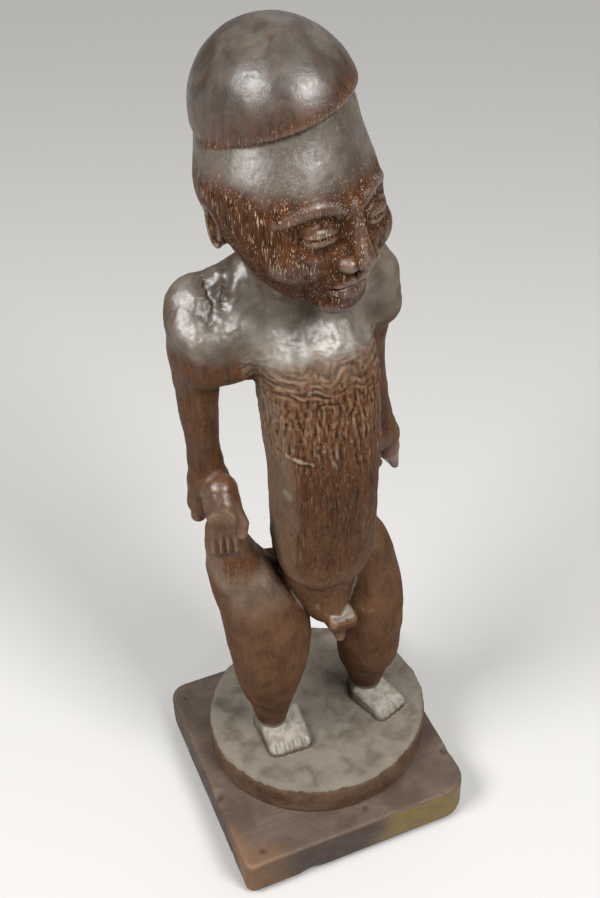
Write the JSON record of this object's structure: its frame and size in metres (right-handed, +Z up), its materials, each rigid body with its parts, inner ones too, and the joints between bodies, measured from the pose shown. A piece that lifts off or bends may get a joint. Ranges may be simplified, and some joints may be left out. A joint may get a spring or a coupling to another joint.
{
  "type": "carved ancestor figure",
  "caption": "Standing carved wooden figure on its own oval base, screwed to a square display plinth with felt pads.",
  "frame": {"origin": "centre of the footprint, on the surface the felt pads stand on", "axes": "+Z up along the figure, -Y the way the figure's chest faces, +X to the figure's left"},
  "size_m": [0.1, 0.1, 0.3324],
  "materials": {
    "carved_wood": "hand-polished dark wood with dusty pores and grey patina on its high places",
    "plinth_wood": "stained softwood board, worn to bare orange-brown wood at its edges",
    "screw_steel": "dull zinc-plated",
    "dark_felt": "pressed felt"
  },
  "bodies": {
    "root": {"carved_figure": "carved_wood", "plinth": "plinth_wood", "mount_screw_right": "screw_steel", "mount_screw_left": "screw_steel", "felt_pad_front_right": "dark_felt", "felt_pad_front_left": "dark_felt", "felt_pad_back_right": "dark_felt", "felt_pad_back_left": "dark_felt"}
  },
  "joints": []
}
